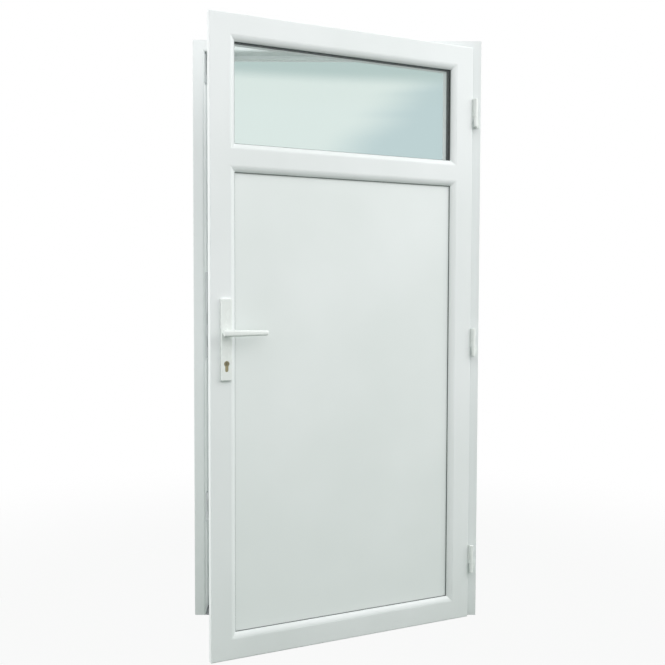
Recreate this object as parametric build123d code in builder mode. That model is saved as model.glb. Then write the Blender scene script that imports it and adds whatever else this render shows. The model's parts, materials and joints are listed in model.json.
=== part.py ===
from build123d import *
from collections import namedtuple
import os

os.makedirs("parts", exist_ok=True)

# A white PVC entrance door, its leaf standing open. Millimetres. X = 0 is the wall face of the hinge jamb,
# Z = 0 is the floor, Y = 0 is the middle of the frame's depth, and the leaf opens towards -Y.

# Frame over all, and the section of its jambs and head
frame_width = 980.0
frame_height = 1980.0
frame_depth = 70.0
frame_web = 39.0  # from the wall face to the rebate face
stop_reach = 16.0  # how far the stop stands into the doorway past the rebate face
stop_depth = 18.0
face_edge_radius = 8.0  # between its face and the rebate face
stop_edge_radius = 2.5
profile_wall = 3.0  # walls and ribs of the hollow PVC profiles, of the leaf too

# Leaf over all, measured closed
leaf_reveal = 29.0  # frame face that shows beside and above the leaf
floor_gap = 5.0
leaf_lead = 25.0  # how far the leaf's face stands ahead of the frame's face
leaf_depth = 70.0
opening_angle = 24.6  # how far the leaf stands open

# Section of the leaf's stiles and rails
flange_width = 22.0
flange_depth = 18.0
stile_face = 64.0  # flat face from the leaf's edge to the bead
leaf_edge_radius = 4.0
lip_bevel = 7.0  # bevel on the fixed lip that backs the glazing
middle_rail_drop = 424.0  # from the leaf's top to the centre of the middle rail
middle_rail_face = 50.0

# Glazing: bead, gasket, sealed unit, gasket and lip, from the leaf's face inwards
bead_width = 17.0
bead_drop = 13.0  # from the leaf's face to the back of the bead
bead_step = 0.8  # the bead lies this much below the leaf's face
bead_land = 2.5  # flat strip of the bead next to the stile
bead_nose = 2.5  # square edge of the bead next to the gasket
bead_bulge = 1.6  # how far the bead's slope is rounded out
gasket_depth = 3.0
gasket_width = 6.0
gasket_show = 1.4  # inside gasket that shows past the bead
unit_depth = 24.0  # sealed glass unit, and the infill panel
glass_thickness = 4.0
spacer_width = 13.0
edge_clearance = 5.0  # from the rebate to the edge of the unit

# Weather gaskets in the frame and on the leaf's flange
seal_depth = 2.0
seal_width = 4.5
frame_seal_inset = 11.0  # from the rebate face to the gasket on the stop
leaf_seal_inset = 2.0  # from the leaf's edge to the gasket on the flange

# Threshold
threshold_base = 15.0
threshold_rib = 27.0
threshold_nose = 6.0  # height of its front edge
threshold_ramp = 12.0  # depth of the ramp behind the front edge
threshold_fall = 6.0  # fall of the rib's top towards the outside

# Hinges
top_hinge_drop = 247.0  # from the frame's top to the middle of the hinge
middle_hinge_level = 958.0
bottom_hinge_level = 209.0
hinge_height = 95.0
frame_knuckle_height = 32.0
barrel_radius = 6.5
barrel_proud = 8.0  # axis ahead of the leaf's face
barrel_bevel = 1.5  # at the barrel's foot and top
pin_radius = 3.5
pin_clearance = 0.2
pin_cover = 5.0  # knuckle over the pin's end
knuckle_gap = 0.5
strap_thickness = 2.5
leaf_plate_width = 13.0
frame_plate_width = 18.0
frame_plate_edge = 5.0  # from the wall face to the frame plate

# Lever handle on its long plate
handle_backset = 49.0  # from the leaf's edge to the spindle
spindle_level = 1004.0
spindle_square = 8.0
spindle_bore = 14.0
inside_plate_width = 34.0
outside_plate_width = 26.0  # narrower, to clear the stop
plate_height = 246.0
plate_depth = 10.0
plate_drop = 20.0  # centre of the plate below the spindle
plate_corner = 4.0
plate_bevel = 2.0
collar_radius = 11.5
collar_height = 4.0
lever_gap = 0.3  # between the lever's collar and the plate
neck_radius = 8.0
lever_reach = 123.0  # from the spindle to the lever's end
inside_heel = 18.0  # from the spindle to the lever's back end
outside_heel = 8.0  # shorter, to clear the stop
lever_stand = 36.0  # from the leaf's face to the middle of the grip
grip_height = 21.0
grip_thickness = 13.0
grip_bevel = 4.0
grip_end_radius = 6.0

# Profile cylinder
cylinder_drop = 92.0  # below the spindle
cylinder_radius = 8.5
cylinder_leg = 10.0  # width of its leg
cylinder_height = 33.0
cylinder_proud = 7.0  # past the leaf's face
plug_radius = 6.4
plug_depth = 20.0
plug_clearance = 0.1
keyway_width = 2.2
keyway_height = 8.5
keyway_depth = 4.0
cylinder_clearance = 0.2

# Multi-point lock in the leaf's edge, and its strikes on the lock jamb
lock_line = 46.0  # from the leaf's face to the middle of the lock
strip_width = 16.0
strip_thickness = 3.0
strip_margin = 12.0  # from the ends of the leaf's core to the strip
strip_clearance = 0.2
bolt_height = 34.0
latch_rise = 30.0  # above the spindle
bolt_rise = 45.0  # above the cylinder
latch_width = 10.0
bolt_width = 8.0
bolt_depth = 12.0  # behind the edge of the leaf's core
latch_proud = 1.0
strike_width = 28.0
strike_thickness = 5.0
strike_recess = 1.0  # let into the jamb
strike_corner = 3.0
upper_strike_drop = 92.0  # from the frame's top to the middle of the strike
main_strike_rise = 43.0  # above the spindle
lower_strike_level = 380.0
main_strike_height = 296.0
end_strike_height = 100.0
window_play = 3.0  # strike window round its bolt
pocket_depth = 14.0  # in the jamb behind a strike window

# Places that follow from these sizes
Outline = namedtuple("Outline", "left right bottom top")
frame_front = -frame_depth / 2
frame_back = frame_depth / 2
stop_face = frame_back - stop_depth
leaf_front = frame_front - leaf_lead
unit_front = bead_drop + gasket_depth
lip_start = unit_front + unit_depth + gasket_depth
frame_line = Outline(-frame_width, 0, 0, frame_height)
rebate_line = Outline(-frame_width + frame_web, -frame_web, 0, frame_height - frame_web)
leaf_line = Outline(-frame_width + leaf_reveal, -leaf_reveal, floor_gap, frame_height - leaf_reveal)
middle_rail_level = leaf_line.top - middle_rail_drop
light_line = Outline(
    leaf_line.left + stile_face,
    leaf_line.right - stile_face,
    middle_rail_level + middle_rail_face / 2,
    leaf_line.top - stile_face,
)
panel_line = Outline(
    light_line.left,
    light_line.right,
    leaf_line.bottom + stile_face,
    middle_rail_level - middle_rail_face / 2,
)
barrel_x = leaf_line.right + barrel_radius
barrel_y = leaf_front - barrel_proud
hinge_axis = Axis((barrel_x, barrel_y, 0), (0, 0, 1))
hinge_levels = {
    "top": frame_height - top_hinge_drop,
    "middle": middle_hinge_level,
    "bottom": bottom_hinge_level,
}
spindle_x = leaf_line.left + handle_backset
cylinder_level = spindle_level - cylinder_drop
latch_level = spindle_level + latch_rise
bolt_level = cylinder_level + bolt_rise
core_edge = leaf_line.left + flange_width
lock_y = leaf_front + lock_line
leaf_middle = Plane.XZ.offset(-(leaf_front + leaf_depth / 2))


def inset(outline, distance):
    """The outline moved inwards on all four sides."""
    return Outline(
        outline.left + distance,
        outline.right - distance,
        outline.bottom + distance,
        outline.top - distance,
    )


def write_frame_piece(part, label):
    """Label a piece of the fixed frame and write it."""
    part.label = label
    export_step(part, f"parts/{label}.step")


def write_leaf_piece(part, label):
    """Swing a piece of the leaf open about the hinges, label it and write it."""
    turned = part.rotate(hinge_axis, opening_angle)
    turned.label = label
    export_step(turned, f"parts/{label}.step")


# Jamb and head: a hollow web with a stop. X runs inwards from the wall, Y from the room to the outside.
with BuildSketch() as frame_outline:
    with BuildLine():
        Polyline(
            (0, 0),
            (frame_web, 0),
            (frame_web, frame_depth - stop_depth),
            (frame_web + stop_reach, frame_depth - stop_depth),
            (frame_web + stop_reach, frame_depth),
            (0, frame_depth),
            close=True,
        )
    make_face()
    fillet(vertices().sort_by_distance((frame_web, 0))[0], face_edge_radius)
with BuildSketch() as frame_section:
    add(frame_outline.sketch)
    offset(amount=-profile_wall, kind=Kind.INTERSECTION, mode=Mode.SUBTRACT)
    with Locations((0, frame_depth - stop_depth)):
        Rectangle(frame_web, profile_wall, align=Align.MIN)
    fillet(vertices().group_by(Axis.X)[-1], stop_edge_radius)

# Stile and rail, hollow, with ribs that carry the flange and the glazing lip across the core.
# X runs inwards from the leaf's edge, Y from its face.
sight_line = stile_face + bead_width
groove_floor = flange_width + strip_thickness
groove_start = lock_line - strip_width / 2 - strip_clearance
groove_end = lock_line + strip_width / 2 + strip_clearance
with BuildSketch() as leaf_outline:
    with BuildLine():
        Polyline(
            (0, 0),
            (stile_face, 0),
            (stile_face, lip_start),
            (sight_line, lip_start),
            (sight_line, leaf_depth - lip_bevel),
            (sight_line - lip_bevel, leaf_depth),
            (flange_width, leaf_depth),
            (flange_width, groove_end),
            (groove_floor, groove_end),
            (groove_floor, groove_start),
            (flange_width, groove_start),
            (flange_width, flange_depth),
            (0, flange_depth),
            close=True,
        )
    make_face()
with BuildSketch() as leaf_section:
    add(leaf_outline.sketch)
    offset(amount=-profile_wall, kind=Kind.INTERSECTION, mode=Mode.SUBTRACT)
    with Locations((groove_floor, flange_depth - profile_wall), (groove_floor, lip_start)):
        Rectangle(stile_face - groove_floor, profile_wall, align=Align.MIN)
    fillet(vertices().sort_by_distance((0, 0))[0], leaf_edge_radius)

# Glazing bead: a flat land, then a rounded slope down to a square nose over the gasket
slope_start = (bead_land, bead_step)
slope_end = (bead_width, bead_drop - bead_nose)
with BuildSketch() as bead_section:
    with BuildLine():
        Polyline((0, bead_drop), (0, bead_step), slope_start)
        SagittaArc(slope_start, slope_end, -bead_bulge)
        Polyline(slope_end, (bead_width, bead_drop), (0, bead_drop))
    make_face()


def mitred_bar(section, side, outline, front, square_foot=False):
    """Run a section along one side of an outline, its face at Y = front, and mitre its ends."""
    inwards = {
        "left": Vector(1, 0, 0),
        "right": Vector(-1, 0, 0),
        "top": Vector(0, 0, -1),
        "bottom": Vector(0, 0, 1),
    }
    inward = inwards[side]
    run = inward.cross(Vector(0, 1, 0))
    centre = Vector((outline.left + outline.right) / 2, front, (outline.bottom + outline.top) / 2)
    half_width = (outline.right - outline.left) / 2
    half_height = (outline.top - outline.bottom) / 2
    upright = side in ("left", "right")
    half_run = half_height if upright else half_width
    start = centre - inward * (half_width if upright else half_height)
    with BuildPart() as bar:
        with BuildSketch(Plane(start, x_dir=inward, z_dir=run)):
            add(section.sketch)
        extrude(amount=half_run, both=True)
        for end in (run, run * -1):
            corner = start + end * half_run
            if not (square_foot and end.Z < 0):
                split(bisect_by=Plane(corner, z_dir=(inward + end) * -1), keep=Keep.TOP)
    return bar.part


def upright_plane(y):
    """A plane parallel to the frame's face, X to the right and Y up."""
    return Plane.XZ.offset(-y)


def slab(outline, front, thickness, hole=None):
    """A flat sheet that fills an outline from Y = front outwards, with an outline cut from its middle."""
    with BuildPart() as sheet:
        with BuildSketch(upright_plane(front)):
            for line, mode in ((outline, Mode.ADD), (hole, Mode.SUBTRACT)):
                if line:
                    with Locations(((line.left + line.right) / 2, (line.bottom + line.top) / 2)):
                        Rectangle(line.right - line.left, line.top - line.bottom, mode=mode)
        extrude(amount=-thickness)
    return sheet.part


def cylinder_section(clearance):
    """Profile cylinder: a round barrel over a narrow leg with a rounded foot."""
    leg_radius = cylinder_leg / 2
    leg_drop = cylinder_height - cylinder_radius - leg_radius
    with BuildSketch() as section:
        Circle(cylinder_radius + clearance)
        with Locations((0, -leg_drop / 2)):
            Rectangle(cylinder_leg + 2 * clearance, leg_drop)
        with Locations((0, -leg_drop)):
            Circle(leg_radius + clearance)
    return section.sketch


cylinder_outline = cylinder_section(0)
cylinder_hole = cylinder_section(cylinder_clearance)

# Jambs and head, mitred together, with pockets in the lock jamb behind the strike windows
hinge_jamb = mitred_bar(frame_section, "right", frame_line, frame_front, square_foot=True)
lock_jamb_bar = mitred_bar(frame_section, "left", frame_line, frame_front, square_foot=True)
frame_head = mitred_bar(frame_section, "top", frame_line, frame_front)

upper_strike_level = frame_height - upper_strike_drop
strikes = {
    "upper": (upper_strike_level, end_strike_height),
    "main": (spindle_level + main_strike_rise, main_strike_height),
    "lower": (lower_strike_level, end_strike_height),
}
strike_windows = {
    "upper": [(upper_strike_level, bolt_width)],
    "main": [(latch_level, latch_width), (bolt_level, bolt_width)],
    "lower": [(lower_strike_level, bolt_width)],
}
lock_windows = [window for windows in strike_windows.values() for window in windows]
rebate_plane = Plane.YZ.offset(rebate_line.left)
strike_seat = Plane.YZ.offset(rebate_line.left - strike_recess)
with BuildPart() as lock_jamb:
    add(lock_jamb_bar)
    with BuildSketch(rebate_plane):
        for level, width in lock_windows:
            with Locations((lock_y, level)):
                Rectangle(width + 2 * window_play, bolt_height + 2 * window_play)
    extrude(amount=-pocket_depth, mode=Mode.SUBTRACT)
    with BuildSketch(rebate_plane):
        for level, height in strikes.values():
            with Locations((lock_y, level)):
                RectangleRounded(strike_width, height, strike_corner)
    extrude(amount=-strike_recess, mode=Mode.SUBTRACT)

write_frame_piece(hinge_jamb, "hinge_jamb")
write_frame_piece(lock_jamb.part, "lock_jamb")
write_frame_piece(frame_head, "frame_head")

# Strike plates on the lock jamb's rebate face
for name, windows in strike_windows.items():
    with BuildPart() as strike:
        with BuildSketch(strike_seat):
            with Locations((lock_y, strikes[name][0])):
                RectangleRounded(strike_width, strikes[name][1], strike_corner)
            for level, width in windows:
                with Locations((lock_y, level)):
                    Rectangle(width + 2 * window_play, bolt_height + 2 * window_play, mode=Mode.SUBTRACT)
        extrude(amount=strike_thickness)
    write_frame_piece(strike.part, f"{name}_strike_plate")

# Threshold between the jambs, with a ramp under the leaf and a rib behind it, scribed round the stops
jamb_blanks = [
    mitred_bar(frame_outline, side, frame_line, frame_front, square_foot=True) for side in ("left", "right")
]
with BuildPart() as threshold:
    with BuildSketch(Plane.YZ.offset(rebate_line.left)):
        with BuildLine():
            Polyline(
                (frame_front, 0),
                (frame_front, threshold_nose),
                (frame_front + threshold_ramp, threshold_base),
                (stop_face, threshold_base),
                (stop_face, threshold_rib),
                (frame_back, threshold_rib - threshold_fall),
                (frame_back, 0),
                close=True,
            )
        make_face()
    extrude(amount=rebate_line.right - rebate_line.left)
    add(jamb_blanks, mode=Mode.SUBTRACT)
write_frame_piece(threshold.part, "threshold")

# Weather gasket on the face of the stops, down both jambs to the threshold
frame_seal_line = Outline(
    rebate_line.left + frame_seal_inset,
    rebate_line.right - frame_seal_inset,
    threshold_rib,
    rebate_line.top - frame_seal_inset,
)
frame_seal_hole = inset(frame_seal_line, seal_width)._replace(bottom=threshold_rib)
frame_gasket = slab(frame_seal_line, stop_face - seal_depth, seal_depth, hole=frame_seal_hole)
write_frame_piece(frame_gasket, "frame_gasket")

# Stiles and rails of the leaf, mitred at the corners
hinge_stile = mitred_bar(leaf_section, "right", leaf_line, leaf_front)
lock_stile_bar = mitred_bar(leaf_section, "left", leaf_line, leaf_front)
top_rail = mitred_bar(leaf_section, "top", leaf_line, leaf_front)
bottom_rail = mitred_bar(leaf_section, "bottom", leaf_line, leaf_front)

with BuildPart() as lock_stile:
    add(lock_stile_bar)
    with BuildSketch(upright_plane(leaf_front)):
        with Locations((spindle_x, spindle_level)):
            Circle(spindle_bore / 2)
        with Locations((spindle_x, cylinder_level)):
            add(cylinder_hole)
    extrude(amount=-leaf_depth, mode=Mode.SUBTRACT)
    with BuildSketch(Plane.YZ.offset(core_edge)):
        for level, width in lock_windows:
            with Locations((lock_y, level)):
                Rectangle(width + 2 * strip_clearance, bolt_height + 2 * strip_clearance)
    extrude(amount=bolt_depth, mode=Mode.SUBTRACT)

# Middle rail between the stiles, its ends scribed to their lips
stile_blanks = [mitred_bar(leaf_outline, side, leaf_line, leaf_front) for side in ("left", "right")]
with BuildPart() as middle_rail:
    half_face = middle_rail_face / 2
    half_lip = half_face + bead_width
    rail_start = (light_line.left, leaf_front, middle_rail_level)
    with BuildSketch(Plane(rail_start, x_dir=(0, 1, 0), z_dir=(1, 0, 0))):
        with BuildLine():
            Polyline(
                (0, 0),
                (0, half_face),
                (lip_start, half_face),
                (lip_start, half_lip),
                (leaf_depth - lip_bevel, half_lip),
                (leaf_depth, half_lip - lip_bevel),
                (leaf_depth, 0),
            )
            mirror(about=Plane.XZ)
        make_face()
        offset(amount=-profile_wall, kind=Kind.INTERSECTION, mode=Mode.SUBTRACT)
        with Locations((flange_depth - profile_wall, 0), (lip_start, 0)):
            Rectangle(profile_wall, middle_rail_face, align=(Align.MIN, Align.CENTER))
    extrude(amount=light_line.right - light_line.left)
    add(stile_blanks, mode=Mode.SUBTRACT)

write_leaf_piece(hinge_stile, "hinge_stile")
write_leaf_piece(lock_stile.part, "lock_stile")
write_leaf_piece(top_rail, "top_rail")
write_leaf_piece(bottom_rail, "bottom_rail")
write_leaf_piece(middle_rail.part, "middle_rail")

# Glazing beads, mitred round the top light and round the panel
for opening, outline in (("light", light_line), ("panel", panel_line)):
    for side in ("left", "right", "top", "bottom"):
        bead = mitred_bar(bead_section, side, outline, leaf_front)
        write_leaf_piece(bead, f"{opening}_{side}_bead")

# Sealed glass unit in the top light, and the infill panel below
glass_line = inset(light_line, edge_clearance)
spacer_depth = unit_depth - 2 * glass_thickness
inside_pane = slab(glass_line, leaf_front + unit_front, glass_thickness)
spacer_hole = inset(glass_line, spacer_width)
spacer = slab(glass_line, leaf_front + unit_front + glass_thickness, spacer_depth, hole=spacer_hole)
outside_pane = slab(glass_line, leaf_front + unit_front + glass_thickness + spacer_depth, glass_thickness)
lower_panel = slab(inset(panel_line, edge_clearance), leaf_front + unit_front, unit_depth)
write_leaf_piece(inside_pane, "inside_glass_pane")
write_leaf_piece(spacer, "glass_spacer")
write_leaf_piece(outside_pane, "outside_glass_pane")
write_leaf_piece(lower_panel, "lower_panel")

# Glazing gaskets, one round each opening, on each side of the unit and the panel
for label, depth, show in (
    ("inside_gaskets", bead_drop, gasket_show),
    ("outside_gaskets", unit_front + unit_depth, 0),
):
    rings = []
    for outline in (light_line, panel_line):
        inner = inset(outline, bead_width + show)
        rings.append(slab(inset(inner, -gasket_width), leaf_front + depth, gasket_depth, hole=inner))
    with BuildPart() as gaskets:
        add(rings)
    write_leaf_piece(gaskets.part, label)

# Weather gasket on the back of the leaf's flange, on both sides and the top
leaf_seal_line = inset(leaf_line, leaf_seal_inset)._replace(bottom=leaf_line.bottom + flange_width)
leaf_seal_hole = inset(leaf_seal_line, seal_width)._replace(bottom=leaf_line.bottom + flange_width)
leaf_gasket = slab(leaf_seal_line, leaf_front + flange_depth, seal_depth, hole=leaf_seal_hole)
write_leaf_piece(leaf_gasket, "leaf_gasket")

# Lock strip in the groove of the lock stile, with the latch and the three bolts drawn back behind it
strip_bottom = leaf_line.bottom + flange_width + strip_margin
strip_top = leaf_line.top - flange_width - strip_margin
with BuildPart() as lock_faceplate:
    with BuildSketch(Plane.YZ.offset(core_edge)):
        with Locations((lock_y, (strip_bottom + strip_top) / 2)):
            Rectangle(strip_width, strip_top - strip_bottom)
        for level, width in lock_windows:
            with Locations((lock_y, level)):
                Rectangle(
                    width + 2 * strip_clearance,
                    bolt_height + 2 * strip_clearance,
                    mode=Mode.SUBTRACT,
                )
    extrude(amount=strip_thickness)
write_leaf_piece(lock_faceplate.part, "lock_faceplate")

with BuildPart() as latch_bolt:
    with BuildSketch(Plane.XY.offset(latch_level - bolt_height / 2)):
        with BuildLine():
            Polyline(
                (core_edge + bolt_depth, lock_y - latch_width / 2),
                (core_edge + bolt_depth, lock_y + latch_width / 2),
                (core_edge - latch_proud, lock_y + latch_width / 2),
                (core_edge - latch_proud, lock_y),
                (core_edge, lock_y - latch_width / 2),
                close=True,
            )
        make_face()
    extrude(amount=bolt_height)
write_leaf_piece(latch_bolt.part, "latch_bolt")

with BuildPart() as dead_bolt:
    with BuildSketch(Plane.YZ.offset(core_edge)):
        for level in (upper_strike_level, bolt_level, lower_strike_level):
            with Locations((lock_y, level)):
                Rectangle(bolt_width, bolt_height)
    extrude(amount=bolt_depth)
write_leaf_piece(dead_bolt.part, "dead_bolt")

# Handle plates on both faces of the lock stile
for name, width in (("inside", inside_plate_width), ("outside", outside_plate_width)):
    with BuildPart() as handle_plate:
        with BuildSketch(upright_plane(leaf_front)):
            with Locations((spindle_x, spindle_level - plate_drop)):
                RectangleRounded(width, plate_height, plate_corner)
        extrude(amount=plate_depth)
        chamfer(faces().sort_by(Axis.Y)[0].edges(), plate_bevel)
        with BuildSketch(upright_plane(leaf_front)):
            with Locations((spindle_x, spindle_level)):
                Circle(spindle_bore / 2)
            with Locations((spindle_x, cylinder_level)):
                add(cylinder_hole)
        extrude(amount=plate_depth, mode=Mode.SUBTRACT)
        if name == "outside":
            mirror(about=leaf_middle, mode=Mode.REPLACE)
    write_leaf_piece(handle_plate.part, f"{name}_handle_plate")

# Levers on both faces: a collar and a neck on the plate, and a grip that points to the hinges
neck_start = leaf_front - plate_depth - lever_gap
grip_line = leaf_front - lever_stand


def lever(heel):
    """A lever on the leaf's face, its grip running from a heel behind the spindle to its reach."""
    grip_middle = spindle_x + (lever_reach - heel) / 2
    with BuildPart() as handle:
        with BuildSketch(Plane.YZ.offset(spindle_x - heel)):
            with Locations((grip_line, spindle_level)):
                Rectangle(grip_thickness, grip_height)
            chamfer(vertices(), grip_bevel)
        extrude(amount=heel + lever_reach)
        with BuildSketch(Plane.XY.offset(spindle_level)):
            with Locations((grip_middle, grip_line)):
                RectangleRounded(heel + lever_reach, grip_thickness, grip_end_radius)
        extrude(amount=grip_height, both=True, mode=Mode.INTERSECT)
        for radius, height in ((neck_radius, neck_start - grip_line), (collar_radius, collar_height)):
            with BuildSketch(upright_plane(neck_start)):
                with Locations((spindle_x, spindle_level)):
                    Circle(radius)
            extrude(amount=height)
    return handle.part


with BuildPart() as outside_lever:
    add(lever(outside_heel))
    mirror(about=leaf_middle, mode=Mode.REPLACE)
with BuildPart() as spindle:
    with BuildSketch(upright_plane(neck_start)):
        with Locations((spindle_x, spindle_level)):
            Rectangle(spindle_square, spindle_square)
    extrude(amount=-(leaf_depth + 2 * (plate_depth + lever_gap)))
write_leaf_piece(lever(inside_heel), "inside_lever")
write_leaf_piece(outside_lever.part, "outside_lever")
write_leaf_piece(spindle.part, "spindle")

# Profile cylinder through the stile, its ends sunk in the plates, with a plug and a keyway at each end
cylinder_face = leaf_front - cylinder_proud
cylinder_length = leaf_depth + 2 * cylinder_proud
with BuildPart() as lock_cylinder:
    with BuildSketch(upright_plane(cylinder_face)):
        with Locations((spindle_x, cylinder_level)):
            add(cylinder_outline)
    extrude(amount=-cylinder_length)
    for face_y, inward in ((cylinder_face, -1), (cylinder_face + cylinder_length, 1)):
        with BuildSketch(upright_plane(face_y)):
            with Locations((spindle_x, cylinder_level)):
                Circle(plug_radius + plug_clearance)
        extrude(amount=inward * plug_depth, mode=Mode.SUBTRACT)
with BuildPart() as cylinder_plugs:
    for face_y, inward in ((cylinder_face, -1), (cylinder_face + cylinder_length, 1)):
        with BuildSketch(upright_plane(face_y)):
            with Locations((spindle_x, cylinder_level)):
                Circle(plug_radius)
        extrude(amount=inward * plug_depth)
        with BuildSketch(upright_plane(face_y)):
            with Locations((spindle_x, cylinder_level)):
                Rectangle(keyway_width, keyway_height)
        extrude(amount=inward * keyway_depth, mode=Mode.SUBTRACT)
write_leaf_piece(lock_cylinder.part, "lock_cylinder")
write_leaf_piece(cylinder_plugs.part, "cylinder_plugs")

# Barrel hinges: the frame half carries the lower knuckle and the pin, the leaf half turns on the pin
leaf_plate_start = leaf_front + leaf_edge_radius
for name, level in hinge_levels.items():
    hinge_foot = level - hinge_height / 2
    leaf_knuckle_foot = hinge_foot + frame_knuckle_height + knuckle_gap
    leaf_knuckle_height = hinge_height - frame_knuckle_height - knuckle_gap
    with BuildPart() as frame_half:
        with BuildSketch(Plane.XY.offset(hinge_foot)):
            with Locations((barrel_x, barrel_y)):
                Circle(barrel_radius)
        extrude(amount=frame_knuckle_height)
        chamfer(faces().sort_by(Axis.Z)[0].edges(), barrel_bevel)
        with BuildSketch(Plane.XY.offset(hinge_foot + barrel_bevel)):
            with Locations((barrel_x + barrel_radius, barrel_y)):
                Rectangle(strap_thickness, frame_front - barrel_y, align=(Align.MAX, Align.MIN))
            with Locations((-frame_plate_edge, frame_front)):
                Rectangle(frame_plate_width, strap_thickness, align=(Align.MAX, Align.MAX))
        extrude(amount=frame_knuckle_height - barrel_bevel)
        with BuildSketch(Plane.XY.offset(hinge_foot + barrel_bevel)):
            with Locations((barrel_x, barrel_y)):
                Circle(pin_radius)
        extrude(amount=hinge_height - barrel_bevel - pin_cover - knuckle_gap)
    with BuildPart() as leaf_half:
        with BuildSketch(Plane.XY.offset(leaf_knuckle_foot)):
            with Locations((barrel_x, barrel_y)):
                Circle(barrel_radius)
        extrude(amount=leaf_knuckle_height)
        chamfer(faces().sort_by(Axis.Z)[-1].edges(), barrel_bevel)
        with BuildSketch(Plane.XY.offset(leaf_knuckle_foot)):
            with Locations((leaf_line.right, barrel_y)):
                Rectangle(
                    strap_thickness,
                    leaf_plate_start + leaf_plate_width - barrel_y,
                    align=(Align.MIN, Align.MIN),
                )
        extrude(amount=leaf_knuckle_height - barrel_bevel)
        with BuildSketch(Plane.XY.offset(leaf_knuckle_foot)):
            with Locations((barrel_x, barrel_y)):
                Circle(pin_radius + pin_clearance)
        extrude(amount=leaf_knuckle_height - pin_cover, mode=Mode.SUBTRACT)
    write_frame_piece(frame_half.part, f"{name}_hinge_frame_half")
    write_leaf_piece(leaf_half.part, f"{name}_hinge_leaf_half")
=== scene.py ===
"""Entrance door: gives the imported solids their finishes, adds the screws and tread ribs that they leave out,
rounds the levers, and sets a pale studio with the camera at the photograph's view. Lengths are in metres,
apart from the millimetres that properties and patterns are given in."""

import json
from math import ceil, cos, pi, radians, sin

import bmesh
import bpy
from bpy.props import FloatProperty, FloatVectorProperty, IntProperty, PointerProperty
from bpy.types import Operator, Panel, PropertyGroup
from mathutils import Matrix, Vector


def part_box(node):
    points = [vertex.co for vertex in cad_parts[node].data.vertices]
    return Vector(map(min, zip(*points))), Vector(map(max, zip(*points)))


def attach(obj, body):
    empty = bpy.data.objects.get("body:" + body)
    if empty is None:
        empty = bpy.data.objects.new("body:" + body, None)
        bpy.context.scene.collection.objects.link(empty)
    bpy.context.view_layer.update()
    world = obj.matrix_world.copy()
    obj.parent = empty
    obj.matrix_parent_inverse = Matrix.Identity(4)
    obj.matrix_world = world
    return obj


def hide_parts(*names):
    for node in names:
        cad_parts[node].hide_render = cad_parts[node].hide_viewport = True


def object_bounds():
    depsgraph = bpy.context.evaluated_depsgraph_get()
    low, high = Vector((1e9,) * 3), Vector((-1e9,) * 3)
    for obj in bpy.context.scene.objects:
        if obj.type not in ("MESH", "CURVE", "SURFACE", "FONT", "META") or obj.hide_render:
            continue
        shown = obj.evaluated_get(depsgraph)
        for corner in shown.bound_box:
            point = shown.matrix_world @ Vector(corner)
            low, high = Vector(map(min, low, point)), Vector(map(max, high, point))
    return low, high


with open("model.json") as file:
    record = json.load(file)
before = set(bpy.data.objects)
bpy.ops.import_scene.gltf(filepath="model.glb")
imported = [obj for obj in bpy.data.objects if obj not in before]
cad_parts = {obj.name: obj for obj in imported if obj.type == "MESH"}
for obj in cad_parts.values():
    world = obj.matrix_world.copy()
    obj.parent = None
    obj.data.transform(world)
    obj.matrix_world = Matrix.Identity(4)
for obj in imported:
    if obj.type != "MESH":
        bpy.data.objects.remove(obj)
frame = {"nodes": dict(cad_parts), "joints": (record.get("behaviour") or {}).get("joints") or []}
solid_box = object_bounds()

bl_info = {
    "name": "Entrance Door Finishes",
    "version": (1, 0, 0),
    "blender": (4, 5, 0),
    "location": "View3D > Sidebar > Door",
    "description": "Finishes and small pieces of a white PVC entrance door, with a pale studio",
    "category": "Object",
}

MM = 0.001
PVC_IOR = 1.53
GLASS_IOR = 1.52
RUBBER_IOR = 1.5
COAT_IOR = 1.5
WHITE = (1.0, 1.0, 1.0, 1.0)
HINGES = ("top", "middle", "bottom")
STRIKES = ("upper", "main", "lower")


def joint(name):
    """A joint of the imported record, by name."""
    return next(j for j in frame["joints"] if j["name"] == name)


# The leaf stands open at rest. Pieces on it are drawn with the leaf shut, then swung open by this matrix.
swing = joint("leaf_swing")
hinge_point = Vector(swing["pos_m"])
open_angle = radians(-swing["range_deg"][0])
swing_open = (
    Matrix.Translation(hinge_point)
    @ Matrix.Rotation(open_angle, 4, Vector(swing["axis"]))
    @ Matrix.Translation(-hinge_point)
)
swing_shut = swing_open.inverted()
spindle_shut = swing_shut @ Vector(joint("lever_turn")["pos_m"])


def corners(points):
    """Lowest and highest corner of the box round some points."""
    return [Vector([pick(p[i] for p in points) for i in range(3)]) for pick in (min, max)]


def shut_box(name):
    """Lowest and highest corner of a leaf node with the leaf swung shut."""
    return corners([swing_shut @ v.co for v in frame["nodes"][name].data.vertices])


def linear(hex_colour):
    """An sRGB hex colour as linear RGB."""
    channels = [int(hex_colour[i : i + 2], 16) / 255 for i in (1, 3, 5)]
    return [c / 12.92 if c <= 0.04045 else ((c + 0.055) / 1.055) ** 2.4 for c in channels]


def colour(name, description, hex_colour):
    """A colour property, from an sRGB hex value."""
    return FloatVectorProperty(
        name=name, description=description, subtype="COLOR", size=3, min=0, max=1, default=linear(hex_colour)
    )


def length(name, description, millimetres):
    """A length property, from millimetres."""
    return FloatProperty(
        name=name, description=description, unit="LENGTH", default=millimetres * MM, precision=5
    )


def angle(name, description, degrees):
    """An angle property, from degrees."""
    return FloatProperty(name=name, description=description, subtype="ANGLE", default=radians(degrees))


def power(name, description, watts):
    """A lamp's power."""
    return FloatProperty(name=name, description=description, unit="POWER", min=0, default=watts)


def strength(name, description, value):
    """A strength of the ambient light."""
    return FloatProperty(name=name, description=description, min=0, default=value)


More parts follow.
